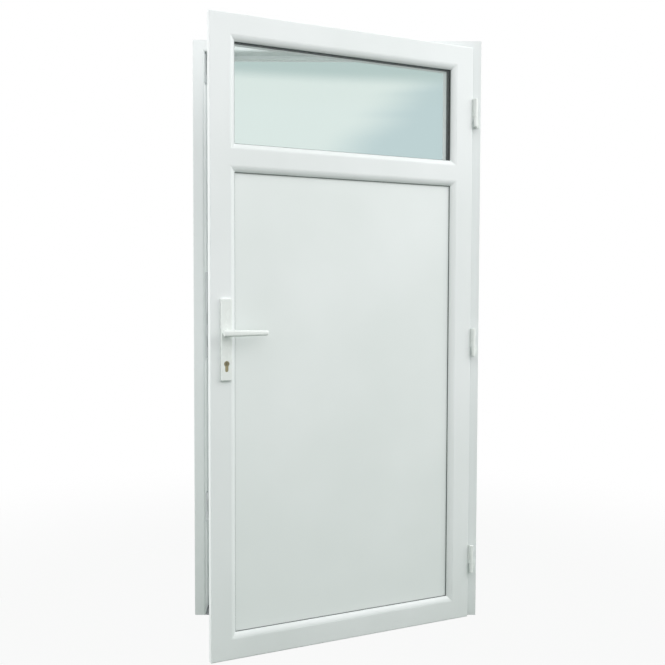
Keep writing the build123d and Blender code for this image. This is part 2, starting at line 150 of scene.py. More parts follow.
class DoorColours(PropertyGroup):
    """Colours of the door's materials."""

    pvc: colour("White PVC", "Extruded frame and leaf profiles", "#EEF2F2")
    pvc_dull: colour("Dulled PVC", "The same PVC where it is slightly dulled", "#E6EBEA")
    panel: colour("Panel skin", "Smooth skin of the infill panel", "#EEF3F2")
    panel_dull: colour("Dulled skin", "The panel's skin where it is slightly dulled", "#E7EDEB")
    glass: colour("Float glass", "Tint of the panes", "#FAFDFC")
    rubber: colour("Glazing rubber", "Gaskets round the glass and the panel", "#5A6260")
    weather: colour("Weather rubber", "Pale gaskets between leaf and frame", "#DCE1DF")
    spacer: colour("Edge spacer", "Dark spacer round the sealed unit", "#1C2424")
    aluminium: colour("Threshold aluminium", "Anodised threshold", "#8C9092")
    zinc: colour("Zinc plate", "Strikes, lock strip and screws", "#CDD3D3")
    coat: colour("White powder coat", "Handles and hinges", "#EEF3F0")
    nickel: colour("Nickelled brass", "Profile cylinder", "#A39C7C")
    plug: colour("Plug brass", "Cylinder plug", "#8C8870")


class DoorSizes(PropertyGroup):
    """Sizes of the small pieces."""

    screw_radius: length("Screw head radius", "Countersunk head of the plates' screws", 3.6)
    screw_rise: length("Screw head rise", "Head above its plate", 0.5)
    screw_sink: length("Screw head depth", "Head below its plate's face", 0.4)
    recess_width: length("Recess width", "Arm of the cross recess", 1.1)
    recess_span: length("Recess span", "Cross recess from end to end", 4.4)
    recess_depth: length("Recess depth", "Depth of the cross recess", 0.7)
    screw_margin: length("Screw margin", "From a plate's end to its screw", 11.0)
    strip_pitch: length("Strip screw pitch", "Most between screws of the lock strip", 235.0)
    plate_thickness: length("Hinge plate thickness", "Leaf plate of a hinge", 2.5)
    hinge_plate_width: length("Hinge plate width", "Leaf plate of a hinge, along the leaf's depth", 13.0)
    rib_radius: length("Tread rib radius", "Half-round rib along the threshold's tread", 1.0)
    rib_count: IntProperty(name="Tread ribs", description="Ribs across the tread", min=2, default=6)
    tread_margin: length("Tread margin", "Plain strip before the first rib and after the last", 3.0)
    grip_height: length("Grip height", "Lever grip at its heel", 20.5)
    grip_tip: length("Grip tip height", "Lever grip near its end", 15.5)
    grip_depth: length("Grip depth", "Lever grip from front to back", 13.0)
    grip_corner: length("Grip rounding", "Rounded corners of the grip's section", 6.2)
    inside_heel: length("Inside heel", "Inside grip behind the spindle", 18.0)
    outside_heel: length("Outside heel", "Outside grip behind the spindle", 8.0)
    neck_radius: length("Neck radius", "Round neck between collar and grip", 8.0)
    collar_radius: length("Collar radius", "Round collar on the plate", 11.5)
    collar_height: length("Collar height", "Collar ahead of the plate", 4.0)
    collar_rim: length("Collar rim", "Softened rim of the collar", 1.2)


class DoorStage(PropertyGroup):
    """Camera, lamps, floor and backdrop."""

    camera_place: FloatVectorProperty(
        name="Camera", description="Where the camera stands", subtype="TRANSLATION",
        default=(-0.52849, -3.00874, 1.12472),
    )
    camera_pan: angle("Pan", "Turn to the left", -0.488)
    camera_tilt: angle("Tilt", "Turn downwards", 2.622)
    camera_roll: angle("Roll", "Turn about the view", 0.174)
    camera_lens: FloatProperty(name="Lens", description="Focal length", unit="CAMERA", default=46.785)
    key_power: power("Key lamp", "Large soft lamp above and to the right", 65.0)
    top_power: power("Top lamp", "Wide soft lamp above and in front", 44.0)
    side_power: power("Side lamp", "Soft lamp to the left, along the leaf's free edge", 46.0)
    ambient: strength("Ambient", "Light from above", 0.97)
    ambient_low: strength("Low ambient", "Light from below", 0.06)
    zenith: FloatProperty(
        name="Zenith", description="Share of the ambient light from straight above", subtype="FACTOR",
        min=0, max=1, default=0.3,
    )
    behind: strength("Light behind", "More light from behind, most of it from the right", 1.0)
    floor_radius: length("Floor radius", "Where the floor has faded into the backdrop", 3200.0)
    floor: colour("Floor", "Floor as it lights the door", "#4C6453")
    backdrop_light: colour("Glass tone", "What shows through the glass, lower part", "#E6EEEB")
    backdrop_upper: colour("Glass tone, above", "What shows through the glass, upper part", "#BACBC9")
    backdrop_side: colour("Glass tone, side", "What shows through the glass, towards the hinges", "#C2D3D6")


def node(tree, kind, values=None, links=None, **settings):
    """Add a node: settings are its attributes, values its sockets' constants, links its sockets' sources."""
    made = tree.nodes.new(kind)
    for name, value in settings.items():
        setattr(made, name, value)
    for socket, value in (values or {}).items():
        made.inputs[socket].default_value = value
    for socket, source in (links or {}).items():
        tree.links.new(source, made.inputs[socket])
    return made


def opaque(rgb):
    """A colour with full alpha."""
    return (*rgb, 1.0)


def blank_tree(owner):
    """The emptied shader tree of a material or a world."""
    owner.use_nodes = True
    owner.node_tree.nodes.clear()
    return owner.node_tree


def new_material(name, **sockets):
    """A material with one Principled shader, whose constants are set by socket name."""
    material = bpy.data.materials.new(name)
    tree = blank_tree(material)
    shader = node(tree, "ShaderNodeBsdfPrincipled")
    for socket, value in sockets.items():
        shader.inputs[socket.replace("_", " ")].default_value = value
    node(tree, "ShaderNodeOutputMaterial", links={"Surface": shader.outputs["BSDF"]})
    return material, tree, shader


def pattern_place(tree, size, turn=0.0):
    """Object coordinates divided by a pattern's real size in millimetres, turned about the upright axis."""
    values = {"Rotation": (0, 0, turn), "Scale": [side * MM for side in size]}
    place = node(tree, "ShaderNodeTexCoord").outputs["Object"]
    mapping = node(tree, "ShaderNodeMapping", values, {"Vector": place}, vector_type="TEXTURE")
    return mapping.outputs["Vector"]


def two_tone(tree, shader, place, first, second):
    """Cloudy change between two colours, on the shader's base colour."""
    cloud = node(tree, "ShaderNodeTexNoise", {"Scale": 1.0, "Detail": 3.0}, {"Vector": place})
    ramp = node(tree, "ShaderNodeValToRGB", links={"Fac": cloud.outputs["Fac"]})
    first_until, second_from = 0.35, 0.7
    low, high = ramp.color_ramp.elements
    low.position, high.position = first_until, second_from
    low.color, high.color = opaque(first), opaque(second)
    tree.links.new(ramp.outputs["Color"], shader.inputs["Base Color"])
    return cloud.outputs["Fac"]


def rough_between(tree, shader, source, low, high):
    """Roughness that follows a pattern, from low to high."""
    spread = node(tree, "ShaderNodeMapRange", {"To Min": low, "To Max": high}, {"Value": source})
    tree.links.new(spread.outputs["Result"], shader.inputs["Roughness"])


def raised(tree, shader, source, height):
    """Bump of a real height in millimetres that follows a pattern."""
    bump = node(tree, "ShaderNodeBump", {"Strength": 1.0, "Distance": height * MM}, {"Height": source})
    tree.links.new(bump.outputs["Normal"], shader.inputs["Normal"])


def extruded_pvc(name, colours, line_size, turn=0.0):
    """Extruded PVC profile, drawn through a die: satin gloss, with slow changes of tone and gloss.
    Real die lines are too fine to show, so they are drawn some 8 mm apart. They are shallow and faint."""
    material, tree, shader = new_material(name, IOR=PVC_IOR)
    cloud = two_tone(tree, shader, pattern_place(tree, (350, 350, 600)), colours.pvc, colours.pvc_dull)
    rough_between(tree, shader, cloud, low=0.26, high=0.38)
    place = pattern_place(tree, line_size, turn)
    lines = node(tree, "ShaderNodeTexNoise", {"Scale": 1.0, "Detail": 2.0}, {"Vector": place})
    raised(tree, shader, lines.outputs["Fac"], height=0.0015)
    return material


def panel_skin(colours):
    """Flat PVC skin glued to a foam core: smooth, with a slow waviness that bends its reflections."""
    material, tree, shader = new_material("panel_pvc_skin", IOR=PVC_IOR)
    cloud = two_tone(tree, shader, pattern_place(tree, (500, 500, 500)), colours.panel, colours.panel_dull)
    rough_between(tree, shader, cloud, low=0.3, high=0.42)
    place = pattern_place(tree, (90, 90, 160))
    waves = node(tree, "ShaderNodeTexNoise", {"Scale": 1.0, "Detail": 1.0}, {"Vector": place})
    raised(tree, shader, waves.outputs["Fac"], height=0.12)
    return material


def float_glass(colours):
    """Clear float glass: sharp reflections, a faint green cast, and a film of dust that barely dulls it."""
    material, tree, shader = new_material("float_glass", IOR=GLASS_IOR, Transmission_Weight=1.0)
    shader.inputs["Base Color"].default_value = opaque(colours.glass)
    place = pattern_place(tree, (60, 60, 30))
    dust = node(tree, "ShaderNodeTexNoise", {"Scale": 1.0, "Detail": 4.0}, {"Vector": place})
    rough_between(tree, shader, dust.outputs["Fac"], low=0.0, high=0.03)
    return material


def extruded_rubber(name, rgb, roughness):
    """Extruded sealing rubber or dark plastic: nearly matt, with small changes of tone.
    They are drawn 4 to 20 mm long, coarser than real ones, so that they show."""
    material, tree, shader = new_material(name, IOR=RUBBER_IOR)
    bloom, rough_spread = 1.15, 0.15  # the paler patches against the colour, and how much rougher they are
    paler = [min(1.0, c * bloom) for c in rgb]
    grain = two_tone(tree, shader, pattern_place(tree, (4, 4, 20)), rgb, paler)
    rough_between(tree, shader, grain, low=roughness, high=roughness + rough_spread)
    raised(tree, shader, grain, height=0.05)
    return material


def brushed_metal(name, rgb, line_size, low, high, turn=0.0):
    """Drawn or brushed metal: lengthwise lines that spread its highlights, and slight changes of tone.
    The lines are drawn over 1 mm apart, coarser than real ones, so that they show."""
    material, tree, shader = new_material(name, Metallic=1.0)
    dark_share = 0.82
    darker = [c * dark_share for c in rgb]
    lines = two_tone(tree, shader, pattern_place(tree, line_size, turn), darker, rgb)
    rough_between(tree, shader, lines, low, high)
    raised(tree, shader, lines, height=0.02)
    return material


def powder_coat(colours):
    """White powder coat on zinc alloy: even gloss over a fine orange peel, drawn 2.5 mm across to show."""
    material, tree, shader = new_material("white_powder_coat", IOR=COAT_IOR)
    dull_share, peel_size = 0.97, 2.5
    dull = [c * dull_share for c in colours.coat]
    cloud = two_tone(tree, shader, pattern_place(tree, (30, 30, 50)), colours.coat, dull)
    rough_between(tree, shader, cloud, low=0.22, high=0.32)
    place = pattern_place(tree, (peel_size, peel_size, peel_size))
    peel = node(tree, "ShaderNodeTexNoise", {"Scale": 1.0, "Detail": 1.0}, {"Vector": place})
    raised(tree, shader, peel.outputs["Fac"], height=0.02)
    return material


def finish(material, *nodes):
    """Put one material on CAD nodes."""
    for name in nodes:
        mesh = frame["nodes"][name].data
        mesh.materials.clear()
        mesh.materials.append(material)


def material_of(name):
    """The material that a CAD node has been given."""
    material = frame["nodes"][name].data.materials[0]
    if material is None:
        raise RuntimeError(f"{name} has no finish yet")
    return material


def add_piece(name, mesh, body, slot, *stands_for):
    """Link a mesh as a piece that rides on a body and may stand for CAD nodes. The slot is not used."""
    piece = bpy.data.objects.new(name, mesh)
    bpy.context.scene.collection.objects.link(piece)
    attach(piece, body)
    if stands_for:
        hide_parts(*stands_for)


def grow(name, mesh, tree, values):
    """Run a Geometry Nodes tree on a mesh and return the result as a plain mesh."""
    seed = bpy.data.objects.new(name, mesh)
    bpy.context.scene.collection.objects.link(seed)
    modifier = seed.modifiers.new(name, "NODES")
    modifier.node_group = tree
    for socket in tree.interface.items_tree:
        if socket.in_out == "INPUT" and socket.name in values:
            modifier[socket.identifier] = values[socket.name]
    depsgraph = bpy.context.evaluated_depsgraph_get()
    grown = bpy.data.meshes.new_from_object(seed.evaluated_get(depsgraph), depsgraph=depsgraph)
    bpy.data.objects.remove(seed)
    if not grown.polygons:
        raise RuntimeError(f"{name} came out empty")
    grown.name = name
    return grown


def new_tree(name, lengths, counts=()):
    """A Geometry Nodes tree with a geometry input and output, a material input and named sizes."""
    tree = bpy.data.node_groups.new(name, "GeometryNodeTree")
    tree.interface.new_socket("Geometry", in_out="INPUT", socket_type="NodeSocketGeometry")
    for size in lengths:
        tree.interface.new_socket(size, in_out="INPUT", socket_type="NodeSocketFloat")
    for count in counts:
        tree.interface.new_socket(count, in_out="INPUT", socket_type="NodeSocketInt")
    tree.interface.new_socket("Material", in_out="INPUT", socket_type="NodeSocketMaterial")
    tree.interface.new_socket("Geometry", in_out="OUTPUT", socket_type="NodeSocketGeometry")
    return tree, node(tree, "NodeGroupInput").outputs


def end_tree(tree, source, inputs):
    """Realize a tree's instances, set its material and send it to the output."""
    whole = node(tree, "GeometryNodeRealizeInstances", links={"Geometry": source})
    painted = node(
        tree, "GeometryNodeSetMaterial",
        links={"Geometry": whole.outputs[0], "Material": inputs["Material"]},
    )
    node(tree, "NodeGroupOutput", links={0: painted.outputs[0]})


class DOOR_OT_profiles(Operator):
    """Finish the PVC profiles of the frame and the leaf, and the glazing beads"""

    bl_idname = "door.profiles"
    bl_label = "PVC Profiles and Beads"

    def execute(self, context):
        colours = context.scene.door_colours
        across, along = 8, 900  # millimetres between die lines, and along them
        uprights = extruded_pvc("white_pvc_uprights", colours, (across, across, along))
        head = extruded_pvc("white_pvc_head", colours, (along, across, across))
        rails = extruded_pvc("white_pvc_rails", colours, (along, across, across), open_angle)
        finish(uprights, "hinge_jamb", "lock_jamb", "hinge_stile", "lock_stile")
        finish(head, "frame_head")
        finish(rails, "top_rail", "middle_rail", "bottom_rail")
        for opening in ("light", "panel"):
            finish(uprights, f"{opening}_left_bead", f"{opening}_right_bead")
            finish(rails, f"{opening}_top_bead", f"{opening}_bottom_bead")
        return {"FINISHED"}


class DOOR_OT_glazing(Operator):
    """Finish the sealed glass unit, the infill panel and the gaskets"""

    bl_idname = "door.glazing"
    bl_label = "Glass, Panel and Gaskets"

    def execute(self, context):
        colours = context.scene.door_colours
        finish(float_glass(colours), "inside_glass_pane", "outside_glass_pane")
        for name, rgb, roughness, nodes in (
            ("dark_edge_spacer", colours.spacer, 0.5, ("glass_spacer",)),
            ("glazing_rubber", colours.rubber, 0.55, ("inside_gaskets", "outside_gaskets")),
            ("pale_weather_rubber", colours.weather, 0.6, ("leaf_gasket", "frame_gasket")),
        ):
            finish(extruded_rubber(name, rgb, roughness), *nodes)
        finish(panel_skin(colours), "lower_panel")
        return {"FINISHED"}


class DOOR_OT_ironmongery(Operator):
    """Finish the hinges, handle plates, strikes, lock and threshold"""

    bl_idname = "door.ironmongery"
    bl_label = "Hinges, Lock and Threshold"

    def execute(self, context):
        colours = context.scene.door_colours
        coat = powder_coat(colours)
        finish(coat, "inside_handle_plate", "outside_handle_plate")
        for level in HINGES:
            finish(coat, f"{level}_hinge_frame_half", f"{level}_hinge_leaf_half")
        fine, long = 1.2, 120  # millimetres between brushed lines, and along them
        strikes = [f"{level}_strike_plate" for level in STRIKES]
        lock_steel = ("lock_faceplate", "latch_bolt", "dead_bolt", "spindle", *strikes)
        even = (fine, fine, fine)
        for name, rgb, size, low, high, turn, nodes in (
            ("zinc_plated_steel", colours.zinc, (fine, fine, long), 0.34, 0.5, 0.0, lock_steel),
            ("nickelled_brass", colours.nickel, even, 0.28, 0.42, open_angle, ("lock_cylinder",)),
            ("plug_brass", colours.plug, even, 0.3, 0.45, open_angle, ("cylinder_plugs",)),
            ("anodised_aluminium", colours.aluminium, (long, fine, fine), 0.36, 0.5, 0.0, ("threshold",)),
        ):
            finish(brushed_metal(name, rgb, size, low, high, turn), *nodes)
        return {"FINISHED"}


def rounded_section(half_width, half_height, corner, steps):
    """Points round a rectangle with rounded corners, centred, counter-clockwise."""
    points = []
    for quarter, (sx, sy) in enumerate(((1, 1), (-1, 1), (-1, -1), (1, -1))):
        centre = Vector((sx * (half_width - corner), sy * (half_height - corner)))
        for i in range(steps + 1):
            turn = (quarter + i / steps) * pi / 2
            points.append(centre + corner * Vector((cos(turn), sin(turn))))
    return points


def loft(shape, rings):
    """Add a closed skin through rings of points, capped at both ends, to a bmesh."""
    loops = [[shape.verts.new(p) for p in ring] for ring in rings]
    for first, second in zip(loops, loops[1:]):
        for i in range(len(first)):
            j = (i + 1) % len(first)
            shape.faces.new((first[i], first[j], second[j], second[i]))
    shape.faces.new(list(reversed(loops[0])))
    shape.faces.new(loops[-1])


def to_mesh(name, shape, place):
    """A mesh from a bmesh, put in its place."""
    mesh = bpy.data.meshes.new(name)
    shape.to_mesh(mesh)
    shape.free()
    mesh.transform(place)
    return mesh


def grip_rings(sizes, stand, heel, reach):
    """Sections of a grip with rounded ends. X runs along the grip from the spindle, Y outwards, Z up."""
    half_depth = sizes.grip_depth / 2
    end_steps, corner_steps = 8, 6
    blunt = 0.25  # share of a step that is left as a small flat at the very end
    end_drop = 0.5  # share of the half depth that the half height loses there
    turns = [(i + blunt) / (end_steps + blunt) * pi / 2 for i in range(end_steps + 1)]
    heel_end = [(-heel + half_depth * (1 - cos(turn)), sin(turn)) for turn in turns]
    tip_end = [(reach - half_depth * (1 - cos(turn)), sin(turn)) for turn in reversed(turns)]
    rings = []
    for x, full in heel_end + tip_end:
        taper = (x + heel) / (reach + heel)
        half_height = (sizes.grip_height + (sizes.grip_tip - sizes.grip_height) * taper) / 2
        half_height -= half_depth * end_drop * (1 - full)
        corner = sizes.grip_corner * full
        ring = rounded_section(half_depth * full, half_height, corner, corner_steps)
        rings.append([Vector((x, stand + p.x, p.y)) for p in ring])
    return rings


def turned_rings(outline):
    """Rings of a round piece about the spindle, from (radius, distance ahead of the plate) pairs."""
    steps = 40
    turns = [2 * pi * i / steps for i in range(steps)]
    return [[Vector((r * cos(t), y, r * sin(t))) for t in turns] for r, y in outline]


def collar_outline(sizes):
    """Half section of the round collar between plate and neck, with a softened rim."""
    radius, height, rim = sizes.collar_radius, sizes.collar_height, sizes.collar_rim
    middle = 0.35 * rim  # how far the middle of the rim lies inside the square corner
    return [
        (radius, 0.0),
        (radius, height - rim),
        (radius - middle, height - middle),
        (radius - rim, height),
    ]


class DOOR_OT_levers(Operator):
    """Model the two levers with rounded grips, in place of their plain solids"""

    bl_idname = "door.levers"
    bl_label = "Levers"

    def execute(self, context):
        sizes = context.scene.door_sizes
        coat = material_of("inside_handle_plate")
        for side, outwards, heel in (("inside", -1, sizes.inside_heel), ("outside", 1, sizes.outside_heel)):
            low, high = shut_box(f"{side}_lever")
            foot = high.y if outwards < 0 else low.y
            stand = (high.y - low.y) - sizes.grip_depth / 2
            neck = [(sizes.neck_radius, 0.0), (sizes.neck_radius, stand)]
            shape = bmesh.new()
            loft(shape, grip_rings(sizes, stand, heel, high.x - spindle_shut.x))
            loft(shape, turned_rings(neck))
            loft(shape, turned_rings(collar_outline(sizes)))
            shape.transform(Matrix.Diagonal((1, outwards, 1, 1)))
            bmesh.ops.recalc_face_normals(shape, faces=shape.faces)
            place = swing_open @ Matrix.Translation((spindle_shut.x, foot, spindle_shut.z))
            mesh = to_mesh(f"{side}_lever_grip", shape, place)
            mesh.materials.append(coat)
            mesh.shade_smooth()
            add_piece(f"{side}_lever_grip", mesh, "lever", "white_metal", f"{side}_lever")
        return {"FINISHED"}


def screw_tree():
    """Countersunk screw heads with a cross recess, one on each point, along the point's facing attribute."""
    tree, inputs = new_tree(
        "screw_heads", ("Head Radius", "Rise", "Sink", "Recess Width", "Recess Span", "Recess Depth")
    )
    head_sides, top_share = 20, 0.82  # sides of a head, and its top's share of the head radius
    depth = node(tree, "ShaderNodeMath", links={0: inputs["Rise"], 1: inputs["Sink"]}, operation="ADD")
    top = node(tree, "ShaderNodeMath", {1: top_share}, {0: inputs["Head Radius"]}, operation="MULTIPLY")
    head = node(
        tree, "GeometryNodeMeshCone", {"Vertices": head_sides},
        {"Radius Top": top.outputs[0], "Radius Bottom": inputs["Head Radius"], "Depth": depth.outputs[0]},
    )
    drop = node(tree, "ShaderNodeMath", {1: -1.0}, {0: inputs["Sink"]}, operation="MULTIPLY")
    seat = node(tree, "ShaderNodeCombineXYZ", links={"Z": drop.outputs[0]})
    seated = node(
        tree, "GeometryNodeTransform",
        links={"Geometry": head.outputs["Mesh"], "Translation": seat.outputs[0]},
    )
    cut = node(tree, "GeometryNodeMeshBoolean", links={"Mesh 1": seated.outputs[0]}, operation="DIFFERENCE")
    # The recess arms are centred on the head's top, so only the lower half of each one cuts.
    double = node(tree, "ShaderNodeMath", {1: 2.0}, {0: inputs["Recess Depth"]}, operation="MULTIPLY")
    rise = node(tree, "ShaderNodeCombineXYZ", links={"Z": inputs["Rise"]})
    for long_axis, short_axis in (("X", "Y"), ("Y", "X")):
        sides = {long_axis: inputs["Recess Span"], short_axis: inputs["Recess Width"]}
        size = node(tree, "ShaderNodeCombineXYZ", links={**sides, "Z": double.outputs[0]})
        arm = node(tree, "GeometryNodeMeshCube", links={"Size": size.outputs[0]})
        raised_arm = node(
            tree, "GeometryNodeTransform",
            links={"Geometry": arm.outputs["Mesh"], "Translation": rise.outputs[0]},
        )
        tree.links.new(raised_arm.outputs[0], cut.inputs["Mesh 2"])
    facing = node(tree, "GeometryNodeInputNamedAttribute", {"Name": "facing"}, data_type="FLOAT_VECTOR")
    turn = node(tree, "FunctionNodeAlignRotationToVector", links={"Vector": facing.outputs[0]}, axis="Z")
    points = node(tree, "GeometryNodeMeshToPoints", links={"Mesh": inputs["Geometry"]})
    placed = node(
        tree, "GeometryNodeInstanceOnPoints",
        links={"Points": points.outputs[0], "Instance": cut.outputs[0], "Rotation": turn.outputs[0]},
    )
    end_tree(tree, placed.outputs[0], inputs)
    return tree


def point_mesh(name, places):
    """Loose points with the way that each one faces, from (point, facing) pairs."""
    mesh = bpy.data.meshes.new(name)
    mesh.from_pydata([p for p, _ in places], [], [])
    facing = mesh.attributes.new("facing", "FLOAT_VECTOR", "POINT")
    for value, (_, way) in zip(facing.data, places):
        value.vector = way
    return mesh


class DOOR_OT_screws(Operator):
    """Put screws in the strike plates, the lock strip and the hinges' leaf plates"""

    bl_idname = "door.screws"
    bl_label = "Screws"

    def frame_places(self, sizes):
        """Screws in the strike plates, near their ends."""
        inwards = Vector((1, 0, 0))
        places = []
        for level in STRIKES:
            low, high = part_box(f"{level}_strike_plate")
            for z in (low.z + sizes.screw_margin, high.z - sizes.screw_margin):
                places.append((Vector((high.x, (low.y + high.y) / 2, z)), inwards))
        return places

    def leaf_places(self, sizes):
        """Screws in the lock strip, evenly spaced, and two in each hinge's leaf plate."""
        to_lock, to_hinges = Vector((-1, 0, 0)), Vector((1, 0, 0))
        low, high = shut_box("lock_faceplate")
        first, last = low.z + sizes.screw_margin, high.z - sizes.screw_margin
        spans = ceil((last - first) / sizes.strip_pitch)
        shut = [
            (Vector((low.x, (low.y + high.y) / 2, first + (last - first) * i / spans)), to_lock)
            for i in range(spans + 1)
        ]
        plate_face = shut_box("hinge_stile")[1].x + sizes.plate_thickness
        for level in HINGES:
            low, high = shut_box(f"{level}_hinge_leaf_half")
            middle = high.y - sizes.hinge_plate_width / 2
            for z in (low.z + sizes.screw_margin, high.z - sizes.screw_margin):
                shut.append((Vector((plate_face, middle, z)), to_hinges))
        turn = swing_open.to_3x3()
        return [(swing_open @ point, turn @ facing) for point, facing in shut]

    def execute(self, context):
        sizes = context.scene.door_sizes
        values = {
            "Head Radius": sizes.screw_radius,
            "Rise": sizes.screw_rise,
            "Sink": sizes.screw_sink,
            "Recess Width": sizes.recess_width,
            "Recess Span": sizes.recess_span,
            "Recess Depth": sizes.recess_depth,
            "Material": material_of("lock_faceplate"),
        }
        tree = screw_tree()
        for body, places in (("frame", self.frame_places(sizes)), ("leaf", self.leaf_places(sizes))):
            name = f"{body}_screws"
            add_piece(name, grow(name, point_mesh(name, places), tree, values), body, "lock_steel")
        return {"FINISHED"}


def rib_tree():
    """Round ribs along X, sunk to half their height, side by side on an edge that runs across them."""
    tree, inputs = new_tree("tread_ribs", ("Length", "Radius"), ("Count",))
    rib_sides = 12
    ends = []
    for share in (-0.5, 0.5):
        half = node(tree, "ShaderNodeMath", {1: share}, {0: inputs["Length"]}, operation="MULTIPLY")
        ends.append(node(tree, "ShaderNodeCombineXYZ", links={"X": half.outputs[0]}).outputs[0])
    line = node(tree, "GeometryNodeCurvePrimitiveLine", links={"Start": ends[0], "End": ends[1]})
    section = node(
        tree, "GeometryNodeCurvePrimitiveCircle", {"Resolution": rib_sides}, {"Radius": inputs["Radius"]}
    )
    rib = node(
        tree, "GeometryNodeCurveToMesh", {"Fill Caps": True},
        {"Curve": line.outputs[0], "Profile Curve": section.outputs[0]},
    )
    across = node(tree, "GeometryNodeMeshToCurve", links={"Mesh": inputs["Geometry"]})
    points = node(
        tree, "GeometryNodeCurveToPoints", links={"Curve": across.outputs[0], "Count": inputs["Count"]}
    )
    placed = node(
        tree, "GeometryNodeInstanceOnPoints",
        links={"Points": points.outputs[0], "Instance": rib.outputs[0]},
    )
    end_tree(tree, placed.outputs[0], inputs)
    return tree


class DOOR_OT_tread(Operator):
    """Put ribs on the threshold's tread, ahead of its stop"""

    bl_idname = "door.tread"
    bl_label = "Tread Ribs"

    def execute(self, context):
        sizes = context.scene.door_sizes
        vertices = [v.co for v in frame["nodes"]["threshold"].data.vertices]
        # From the floor up, the threshold's levels are its foot, its front edge and its tread.
        tread = sorted({round(v.z, 5) for v in vertices})[2]
        level_tolerance = 0.01 * MM
        low, high = corners([v for v in vertices if abs(v.z - tread) < level_tolerance])
        margin = sizes.tread_margin + sizes.rib_radius
        middle = (low.x + high.x) / 2
        ends = [Vector((middle, low.y + margin, tread)), Vector((middle, high.y - margin, tread))]
        if ends[1].y <= ends[0].y:
            raise RuntimeError("The tread has no room for ribs")
        path = bpy.data.meshes.new("tread_ribs")
        path.from_pydata(ends, [(0, 1)], [])
        values = {
            "Length": high.x - low.x,
            "Radius": sizes.rib_radius,
            "Count": sizes.rib_count,
            "Material": material_of("threshold"),
        }
        ribs = grow("tread_ribs", path, rib_tree(), values)
        add_piece("tread_ribs", ribs, "frame", "threshold_aluminium")
        return {"FINISHED"}


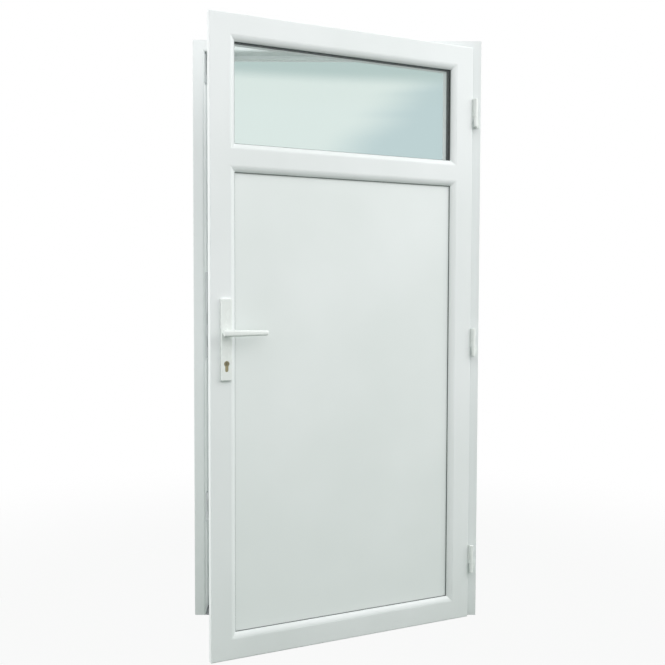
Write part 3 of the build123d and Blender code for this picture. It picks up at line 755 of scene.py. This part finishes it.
class DOOR_OT_stage(Operator):
    """Set the floor, backdrop, lamps and camera"""

    bl_idname = "door.stage"
    bl_label = "Stage"

    def execute(self, context):
        stage = context.scene.door_stage
        context.scene.view_settings.view_transform = "Standard"
        self.floor(context, stage)
        self.backdrop(context, stage)
        self.lamps(context, stage)
        self.camera(context, stage)
        return {"FINISHED"}

    def floor(self, context, stage):
        """A pale disc that keeps the door's shadow and fades into the white backdrop."""
        sides = 96
        low, high = solid_box
        centre = Vector(((low.x + high.x) / 2, (low.y + high.y) / 2, low.z))
        shape = bmesh.new()
        bmesh.ops.create_circle(shape, cap_ends=True, segments=sides, radius=stage.floor_radius)
        mesh = to_mesh("floor", shape, Matrix.Translation(centre))
        mesh.materials.append(self.floor_finish(stage, centre))
        floor = bpy.data.objects.new("floor", mesh)
        context.scene.collection.objects.link(floor)

    def floor_finish(self, stage, centre):
        """Matt to the light, nearly white to the eye and in reflections, and clear towards the rim."""
        white_share = 0.94  # the rest keeps the shadow
        fade_start, fade_end = 0.35 * stage.floor_radius, 0.95 * stage.floor_radius
        material = bpy.data.materials.new("pale_floor")
        tree = blank_tree(material)
        path = node(tree, "ShaderNodeLightPath").outputs
        lit = node(tree, "ShaderNodeBsdfDiffuse", {"Color": opaque(stage.floor)})
        white = node(tree, "ShaderNodeEmission", {"Color": WHITE, "Strength": 1.0})
        veil = node(tree, "ShaderNodeMixShader", {0: white_share}, {1: lit.outputs[0], 2: white.outputs[0]})
        mirror = node(
            tree, "ShaderNodeMath", links={0: path["Is Glossy Ray"], 1: path["Is Transmission Ray"]}
        )
        seen = node(
            tree, "ShaderNodeMath", links={0: path["Is Camera Ray"], 1: mirror.outputs[0]}, use_clamp=True
        )
        shown = node(
            tree, "ShaderNodeMixShader", links={0: seen.outputs[0], 1: lit.outputs[0], 2: veil.outputs[0]}
        )
        place = node(tree, "ShaderNodeTexCoord").outputs["Object"]
        away = node(tree, "ShaderNodeVectorMath", {1: centre}, {0: place}, operation="DISTANCE")
        fade = node(
            tree, "ShaderNodeMapRange", {"From Min": fade_start, "From Max": fade_end},
            {"Value": away.outputs["Value"]}, interpolation_type="SMOOTHSTEP",
        )
        clear = node(tree, "ShaderNodeBsdfTransparent")
        edge = node(
            tree, "ShaderNodeMixShader", links={0: fade.outputs[0], 1: shown.outputs[0], 2: clear.outputs[0]}
        )
        node(tree, "ShaderNodeOutputMaterial", links={"Surface": edge.outputs[0]})
        return material

    def backdrop(self, context, stage):
        """White to the camera and in reflections, soft tones through the glass, and ambient light."""
        world = bpy.data.worlds.new("pale_studio")
        context.scene.world = world
        tree = blank_tree(world)
        path = node(tree, "ShaderNodeLightPath").outputs
        way = node(tree, "ShaderNodeTexCoord").outputs["Generated"]
        parts = node(tree, "ShaderNodeSeparateXYZ", links={0: way}).outputs
        white = node(tree, "ShaderNodeBackground", {"Color": WHITE, "Strength": 1.0})
        level = self.ambient_level(tree, stage, parts)
        ambient = node(tree, "ShaderNodeBackground", {"Color": WHITE}, {"Strength": level})
        tones = self.glass_tones(tree, stage, way, parts)
        behind = node(tree, "ShaderNodeBackground", {"Strength": 1.0}, {"Color": tones})
        seen = node(
            tree, "ShaderNodeMath", links={0: path["Is Camera Ray"], 1: path["Is Glossy Ray"]},
            use_clamp=True,
        )
        first = node(
            tree, "ShaderNodeMixShader",
            links={0: seen.outputs[0], 1: ambient.outputs[0], 2: white.outputs[0]},
        )
        second = node(
            tree, "ShaderNodeMixShader",
            links={0: path["Is Transmission Ray"], 1: first.outputs[0], 2: behind.outputs[0]},
        )
        node(tree, "ShaderNodeOutputWorld", links={"Surface": second.outputs[0]})

    def ambient_level(self, tree, stage, parts):
        """Ambient light by direction: rising from below, falling off overhead, with more from behind."""
        lowest, full = -0.5, 0.6  # upward part of the direction where the light starts and stops rising
        overhead_start = 0.45  # and where it starts to fall off
        rear_full, right_full = 0.2, 0.9  # backward and rightward parts where the light behind is full
        left_share = 0.25  # share of the light behind that comes from the left too
        sky = node(
            tree, "ShaderNodeMapRange",
            {"From Min": lowest, "From Max": full, "To Min": stage.ambient_low, "To Max": stage.ambient},
            {"Value": parts["Z"]},
        )
        overhead = node(
            tree, "ShaderNodeMapRange",
            {"From Min": overhead_start, "From Max": 1.0, "To Min": 1.0, "To Max": stage.zenith},
            {"Value": parts["Z"]},
        )
        above = node(
            tree, "ShaderNodeMath", links={0: sky.outputs[0], 1: overhead.outputs[0]}, operation="MULTIPLY"
        )
        rear = node(
            tree, "ShaderNodeMapRange", {"From Min": 0.0, "From Max": rear_full}, {"Value": parts["Y"]}
        )
        from_left = left_share * stage.behind
        right = node(
            tree, "ShaderNodeMapRange",
            {"From Min": 0.0, "From Max": right_full, "To Min": from_left, "To Max": stage.behind},
            {"Value": parts["X"]},
        )
        level = node(
            tree, "ShaderNodeMath", links={0: rear.outputs[0], 1: right.outputs[0], 2: above.outputs[0]},
            operation="MULTIPLY_ADD",
        )
        return level.outputs[0]

    def glass_tones(self, tree, stage, way, parts):
        """What shows through the glass, by direction: pale, with a darker band above and a bluer side."""
        band_tilt, band_start, band_full = 0.036, 0.2305, 0.2465
        side_lean, side_start, side_full = -1.1, -0.17, -0.085
        streak_scale, streak_reach = (3.0, 3.0, 60.0), 0.05  # level streaks that fray the side's edge
        mix_factor, mix_first, mix_second, mix_result = 0, 6, 7, 2  # a colour Mix node's sockets
        tilted = node(
            tree, "ShaderNodeMath", {1: band_tilt}, {0: parts["X"], 2: parts["Z"]}, operation="MULTIPLY_ADD"
        )
        band = node(
            tree, "ShaderNodeMapRange", {"From Min": band_start, "From Max": band_full},
            {"Value": tilted.outputs[0]}, interpolation_type="SMOOTHSTEP",
        )
        streaks = node(tree, "ShaderNodeMapping", {"Scale": streak_scale}, {"Vector": way})
        blur = node(
            tree, "ShaderNodeTexNoise", {"Scale": 1.0, "Detail": 2.0}, {"Vector": streaks.outputs[0]}
        )
        slant = node(
            tree, "ShaderNodeMath", {1: side_lean}, {0: parts["Z"], 2: parts["X"]}, operation="MULTIPLY_ADD"
        )
        frayed = node(
            tree, "ShaderNodeMath", {1: streak_reach}, {0: blur.outputs["Fac"], 2: slant.outputs[0]},
            operation="MULTIPLY_ADD",
        )
        side = node(
            tree, "ShaderNodeMapRange", {"From Min": side_start, "From Max": side_full},
            {"Value": frayed.outputs[0]}, interpolation_type="SMOOTHSTEP",
        )
        lower = node(
            tree, "ShaderNodeMix",
            {mix_first: opaque(stage.backdrop_light), mix_second: opaque(stage.backdrop_side)},
            {mix_factor: side.outputs[0]}, data_type="RGBA",
        )
        whole = node(
            tree, "ShaderNodeMix", {mix_second: opaque(stage.backdrop_upper)},
            {mix_factor: band.outputs[0], mix_first: lower.outputs[mix_result]}, data_type="RGBA",
        )
        return whole.outputs[mix_result]

    def lamps(self, context, stage):
        """A key lamp from the upper right, a wide top lamp in front, a side lamp on the leaf's free edge."""
        aim = Vector((-0.5, -0.2, 1.1))
        for name, place, diameter, watts in (
            ("key_lamp", Vector((3.1, -1.1, 3.2)), 3.0, stage.key_power),
            ("top_lamp", Vector((0.1, -2.7, 3.1)), 4.0, stage.top_power),
            ("side_lamp", Vector((-3.6, -1.1, 1.5)), 1.4, stage.side_power),
        ):
            light = bpy.data.lights.new(name, "AREA")
            light.shape = "DISK"
            light.size = diameter
            light.energy = watts
            lamp = bpy.data.objects.new(name, light)
            lamp.location = place
            lamp.rotation_euler = (aim - place).to_track_quat("-Z", "Y").to_euler()
            lamp.visible_glossy = False
            lamp.visible_transmission = False
            context.scene.collection.objects.link(lamp)

    def camera(self, context, stage):
        """The camera at the photograph's view."""
        data = bpy.data.cameras.new("camera")
        data.sensor_width = 36.0  # millimetres, as the focal length is
        data.lens = stage.camera_lens
        camera = bpy.data.objects.new("camera", data)
        camera.location = stage.camera_place
        turn = (
            Matrix.Rotation(stage.camera_pan, 3, "Z")
            @ Matrix.Rotation(pi / 2 - stage.camera_tilt, 3, "X")
            @ Matrix.Rotation(stage.camera_roll, 3, "Z")
        )
        camera.rotation_euler = turn.to_euler()
        context.scene.collection.objects.link(camera)
        context.scene.camera = camera


GROUPS = {"door_colours": DoorColours, "door_sizes": DoorSizes, "door_stage": DoorStage}
OPERATORS = (
    DOOR_OT_profiles,
    DOOR_OT_glazing,
    DOOR_OT_ironmongery,
    DOOR_OT_levers,
    DOOR_OT_screws,
    DOOR_OT_tread,
    DOOR_OT_stage,
)


class DOOR_PT_sidebar(Panel):
    """Steps and settings of the door"""

    bl_idname = "DOOR_PT_sidebar"
    bl_label = "Entrance Door"
    bl_space_type = "VIEW_3D"
    bl_region_type = "UI"
    bl_category = "Door"

    def draw(self, context):
        column = self.layout.column(align=True)
        for operator in OPERATORS:
            column.operator(operator.bl_idname)
        for group_name in GROUPS:
            group = getattr(context.scene, group_name)
            box = self.layout.box()
            for name in group.bl_rna.properties.keys():
                if name not in ("rna_type", "name"):
                    box.prop(group, name)


CLASSES = (*GROUPS.values(), *OPERATORS, DOOR_PT_sidebar)


def register():
    for kind in CLASSES:
        bpy.utils.register_class(kind)
    for name, group in GROUPS.items():
        setattr(bpy.types.Scene, name, PointerProperty(type=group))


def unregister():
    for name in GROUPS:
        delattr(bpy.types.Scene, name)
    for kind in reversed(CLASSES):
        bpy.utils.unregister_class(kind)


def main():
    register()
    for operator in OPERATORS:
        family, name = operator.bl_idname.split(".")
        getattr(getattr(bpy.ops, family), name)()


if __name__ == "__main__":
    main()
